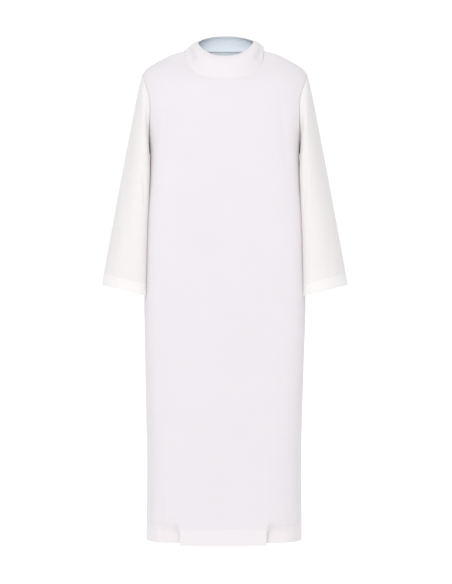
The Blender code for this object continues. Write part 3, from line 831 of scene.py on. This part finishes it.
def woven_material(name, single, doubled, roughness, sheen):
    """Plain-woven cloth. It is lighter where it is doubled, as at a hem."""
    material = bpy.data.materials.new(name)
    material.use_nodes = True
    tree = material.node_tree
    shader = tree.nodes["Principled BSDF"]
    shader.inputs["Roughness"].default_value = roughness
    shader.inputs["Sheen Weight"].default_value = sheen
    shader.inputs["Sheen Roughness"].default_value = SHEEN_ROUGHNESS
    shader.inputs["Specular IOR Level"].default_value = CLOTH_SPECULAR
    place = tree.nodes.new("ShaderNodeUVMap")
    place.uv_map = "cloth"
    threads = []
    for direction in ("X", "Y"):
        wave = tree.nodes.new("ShaderNodeTexWave")
        wave.bands_direction = direction
        wave.inputs["Scale"].default_value = THREADS_SCALE
        wave.inputs["Distortion"].default_value = THREADS_DISTORTION
        wave.inputs["Detail"].default_value = 1.0
        link(tree, place, "UV", wave, "Vector")
        threads.append(wave)
    weave = tree.nodes.new("ShaderNodeMath")
    weave.operation = "MULTIPLY"
    link(tree, threads[0], "Fac", weave, 0)
    link(tree, threads[1], "Fac", weave, 1)
    slub = tree.nodes.new("ShaderNodeTexNoise")
    slub.inputs["Scale"].default_value = SLUB_SCALE
    slub.inputs["Detail"].default_value = SLUB_DETAIL
    link(tree, place, "UV", slub, "Vector")
    relief = tree.nodes.new("ShaderNodeMath")
    relief.operation = "ADD"
    link(tree, weave, 0, relief, 0)
    link(tree, slub, "Fac", relief, 1)
    bump = tree.nodes.new("ShaderNodeBump")
    bump.inputs["Strength"].default_value = WEAVE_STRENGTH
    bump.inputs["Distance"].default_value = WEAVE_HEIGHT
    link(tree, relief, 0, bump, "Height")
    link(tree, bump, "Normal", shader, "Normal")
    layers = tree.nodes.new("ShaderNodeAttribute")
    layers.attribute_name = "doubled"
    cloth = tree.nodes.new("ShaderNodeMix")
    cloth.data_type = "RGBA"
    cloth.inputs["A"].default_value = single
    cloth.inputs["B"].default_value = doubled
    link(tree, layers, "Fac", cloth, "Factor")
    coordinates = tree.nodes.new("ShaderNodeTexCoord")
    patches = tree.nodes.new("ShaderNodeTexNoise")
    patches.inputs["Scale"].default_value = PATCHES_SCALE
    patches.inputs["Detail"].default_value = 2.0
    link(tree, coordinates, "Object", patches, "Vector")
    tint = tree.nodes.new("ShaderNodeMapRange")
    tint.inputs["To Min"].default_value = PATCHES_DARKEST
    tint.inputs["To Max"].default_value = PATCHES_LIGHTEST
    link(tree, patches, "Fac", tint, "Value")
    varied = tree.nodes.new("ShaderNodeVectorMath")
    varied.operation = "SCALE"
    link(tree, cloth, "Result", varied, 0)
    link(tree, tint, "Result", varied, "Scale")
    link(tree, varied, 0, shader, "Base Color")
    return material


def seamed(name, grid, wraps, row_dips, side_seams):
    """The piece's surface with its creases, and dips along its seams and lines of stitches."""
    normals = surface_normals(grid, wraps)
    depth = crease_depth(name, grid, normals)
    for row, amount, width in row_dips:
        depth += dip(row_distance(grid, row), amount, width)[:, None]
    if side_seams:
        depth += dip(edge_distance(grid), SEAM_DIP, SEAM_DIP_WIDTH)
    return grid - normals * depth[:, :, None]


def add_cloth(name, grid, thickness, doubled, wraps, materials):
    mesh = cloth_mesh(name, grid, thickness, doubled, wraps)
    return add_object(name, mesh, materials)


def hem_thickness(row_count):
    """Thickness of each row, and 1 for the rows of the turned hem."""
    thickness = np.full(row_count, ONE_LAYER)
    thickness[:HEM_ROWS] = TURNED_LAYERS
    doubled = np.zeros(row_count)
    doubled[:HEM_ROWS] = 1.0
    return thickness, doubled


def build_panel(panel, materials):
    grid = seamed(
        panel,
        panel_grid(panel),
        False,
        ((HEM_STITCH_ROW, STITCH_DIP, STITCH_DIP_WIDTH), (-1, SEAM_DIP, SEAM_DIP_WIDTH)),
        True,
    )
    thickness, doubled = hem_thickness(len(grid))
    piece = add_cloth(panel + "_cloth", grid, thickness, doubled, False, materials)
    row = grid[HEM_STITCH_ROW]
    normals = surface_normals(grid, False)[HEM_STITCH_ROW]
    stitches = add_stitches(panel + "_hem_stitches", [(row, normals)], materials[2])
    return piece, [stitches]


def build_sleeve(side_name, materials):
    name = "sleeve_" + side_name
    grid = seamed(
        name,
        sleeve_grid(side_name),
        True,
        ((HEM_STITCH_ROW, STITCH_DIP, STITCH_DIP_WIDTH),),
        False,
    )
    thickness, doubled = hem_thickness(len(grid))
    piece = add_cloth(name + "_cloth", grid, thickness, doubled, True, materials)
    ring = grid[HEM_STITCH_ROW]
    normals = surface_normals(grid, True)[HEM_STITCH_ROW]
    closed_ring = np.concatenate((ring, ring[:1]))
    closed_normals = np.concatenate((normals, normals[:1]))
    stitches = add_stitches(name + "_cuff_stitches", [(closed_ring, closed_normals)], materials[2])
    return piece, [stitches]


def build_collar(materials):
    dips = [(row, STITCH_DIP, STITCH_DIP_WIDTH) for row in COLLAR_STITCH_ROWS]
    grid = seamed("collar", collar_grid(), False, dips + [(0, SEAM_DIP, SEAM_DIP_WIDTH)], False)
    thickness = np.full(len(grid), COLLAR_LAYERS)
    doubled = np.ones(len(grid))
    piece = add_cloth("collar_band", grid, thickness, doubled, False, materials)
    normals = surface_normals(grid, False)
    lines = [(grid[row], normals[row]) for row in COLLAR_STITCH_ROWS]
    stitches = add_stitches("collar_stitches", lines, materials[2])
    return piece, [stitches]


def build_garment():
    """The five pieces of cloth with their stitches, each in place of its solid."""
    outside = woven_material("cloth_outside", OUTSIDE_SINGLE, OUTSIDE_DOUBLED, 0.85, 0.15)
    # The inside's pale blue, lighter colour is painted cool light of the shaded inside.
    inside = woven_material("cloth_inside_painted_cool_light", INSIDE_SINGLE_PAINTED_COOL_LIGHT, INSIDE_DOUBLED_PAINTED_COOL_LIGHT, 0.9, 0.1)
    thread = woven_material("sewing_thread", OUTSIDE_DOUBLED, OUTSIDE_DOUBLED, 0.6, 0.1)
    # The sleeves' warmer, lighter colour is painted warm bounce light from the cloth beside them.
    sleeve_outside_painted_warm_bounce = woven_material("sleeve_outside_painted_warm_bounce", SLEEVE_SINGLE_PAINTED_WARM_BOUNCE, SLEEVE_DOUBLED_PAINTED_WARM_BOUNCE, 0.85, 0.15)
    materials = [outside, inside, thread]
    sleeve_materials = [sleeve_outside_painted_warm_bounce, inside, thread]
    built = {panel: build_panel(panel, materials) for panel in FACING}
    for side_name in SIDES:
        built["sleeve_" + side_name] = build_sleeve(side_name, sleeve_materials)
    built["collar"] = build_collar(materials)
    for node, (piece, sewn_on) in built.items():
        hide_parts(node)


# Camera: the photograph is 584 pixels high and takes in 1.67 m at the garment.
CAMERA_DISTANCE = 7.0
FRAME_HEIGHT = 1.6665
CAMERA_X = 0.0035
CAMERA_Z = -0.689
CAMERA_REACH = 100.0
SENSOR = 0.036


def add_camera():
    data = bpy.data.cameras.new("camera")
    data.sensor_width = SENSOR * 1000
    data.lens = SENSOR * 1000 * CAMERA_DISTANCE / FRAME_HEIGHT
    data.clip_end = CAMERA_REACH
    camera = bpy.data.objects.new("camera", data)
    camera.location = (CAMERA_X, -CAMERA_DISTANCE, CAMERA_Z)
    camera.rotation_euler = (math.pi / 2, 0.0, 0.0)
    bpy.context.scene.collection.objects.link(camera)
    bpy.context.scene.camera = camera


# Brightness of the studio's walls, and the parts of a direction over which one passes to the next:
# Y from front to side and from side to backdrop, Z from the walls to overhead.
BACKDROP_STRENGTH = 1.07
FRONT_STRENGTH = 1.20
SIDE_STRENGTH = 0.42
OVERHEAD_STRENGTH = 0.80
FRONT_TO_SIDE = (-0.9, -0.2)
SIDE_TO_BACKDROP = (0.45, 0.85)
WALLS_TO_OVERHEAD = (0.12, 0.45)
LIGHT_COLOUR = (0.965, 0.98, 1.0)

# Pale floor, which glows behind the garment so that it meets the white backdrop without a line.
FLOOR_Z = -1.56
FLOOR_HALF_WIDTH = 200.0
FLOOR_COLOUR = (0.96, 0.96, 0.96, 1.0)
FLOOR_ROUGHNESS = 0.9
FLOOR_SPECULAR = 0.1
FLOOR_GLOW = 0.40
FLOOR_GLOW_Y = (-0.8, 0.4)

# Large soft key light in front, above and to the wearer's right.
KEY_PLACE = (-0.8, -5.0, 2.0)
KEY_AIM = (0.0, 0.0, -0.6)
KEY_WIDTH = 3.0
KEY_POWER = 92.0


def faded(tree, value, low, high, start, end):
    """Node that passes smoothly from start to end as a value goes from low to high."""
    fade = tree.nodes.new("ShaderNodeMapRange")
    fade.interpolation_type = "SMOOTHSTEP"
    fade.inputs["From Min"].default_value = low
    fade.inputs["From Max"].default_value = high
    fade.inputs["To Min"].default_value = start
    fade.inputs["To Max"].default_value = end
    tree.links.new(value, fade.inputs["Value"])
    return fade


def add_world():
    """White backdrop behind the garment, softer light from the sides and in front, and light overhead."""
    world = bpy.data.worlds.new("studio")
    world.use_nodes = True
    tree = world.node_tree
    background = tree.nodes["Background"]
    background.inputs["Color"].default_value = (*LIGHT_COLOUR, 1.0)
    direction = tree.nodes.new("ShaderNodeTexCoord")
    axes = tree.nodes.new("ShaderNodeSeparateXYZ")
    link(tree, direction, "Generated", axes, "Vector")
    front = faded(tree, axes.outputs["Y"], *FRONT_TO_SIDE, FRONT_STRENGTH, SIDE_STRENGTH)
    level = faded(tree, axes.outputs["Y"], *SIDE_TO_BACKDROP, SIDE_STRENGTH, BACKDROP_STRENGTH)
    link(tree, front, "Result", level, "To Min")
    whole = faded(tree, axes.outputs["Z"], *WALLS_TO_OVERHEAD, 0.0, OVERHEAD_STRENGTH)
    link(tree, level, "Result", whole, "To Min")
    link(tree, whole, "Result", background, "Strength")
    bpy.context.scene.world = world


def add_key():
    data = bpy.data.lights.new("key", "AREA")
    data.shape = "SQUARE"
    data.size = KEY_WIDTH
    data.energy = KEY_POWER
    data.color = LIGHT_COLOUR
    key = bpy.data.objects.new("key", data)
    key.location = KEY_PLACE
    aim = Vector(KEY_AIM) - Vector(KEY_PLACE)
    key.rotation_euler = aim.to_track_quat("-Z", "Y").to_euler()
    bpy.context.scene.collection.objects.link(key)


def add_floor():
    half = FLOOR_HALF_WIDTH
    mesh = bpy.data.meshes.new("floor")
    corners = [(x, y, FLOOR_Z) for x, y in ((-half, -half), (half, -half), (half, half), (-half, half))]
    mesh.from_pydata(corners, [], [(0, 1, 2, 3)])
    material = bpy.data.materials.new("floor_paint")
    material.use_nodes = True
    tree = material.node_tree
    shader = tree.nodes["Principled BSDF"]
    shader.inputs["Base Color"].default_value = FLOOR_COLOUR
    shader.inputs["Roughness"].default_value = FLOOR_ROUGHNESS
    shader.inputs["Specular IOR Level"].default_value = FLOOR_SPECULAR
    shader.inputs["Emission Color"].default_value = (1.0, 1.0, 1.0, 1.0)
    place = tree.nodes.new("ShaderNodeTexCoord")
    axes = tree.nodes.new("ShaderNodeSeparateXYZ")
    link(tree, place, "Object", axes, "Vector")
    glow = faded(tree, axes.outputs["Y"], *FLOOR_GLOW_Y, 0.0, FLOOR_GLOW)
    link(tree, glow, "Result", shader, "Emission Strength")
    mesh.materials.append(material)
    floor = bpy.data.objects.new("floor", mesh)
    bpy.context.scene.collection.objects.link(floor)


add_camera()
build_garment()
add_world()
add_key()
add_floor()
bpy.context.scene.view_settings.view_transform = "Standard"
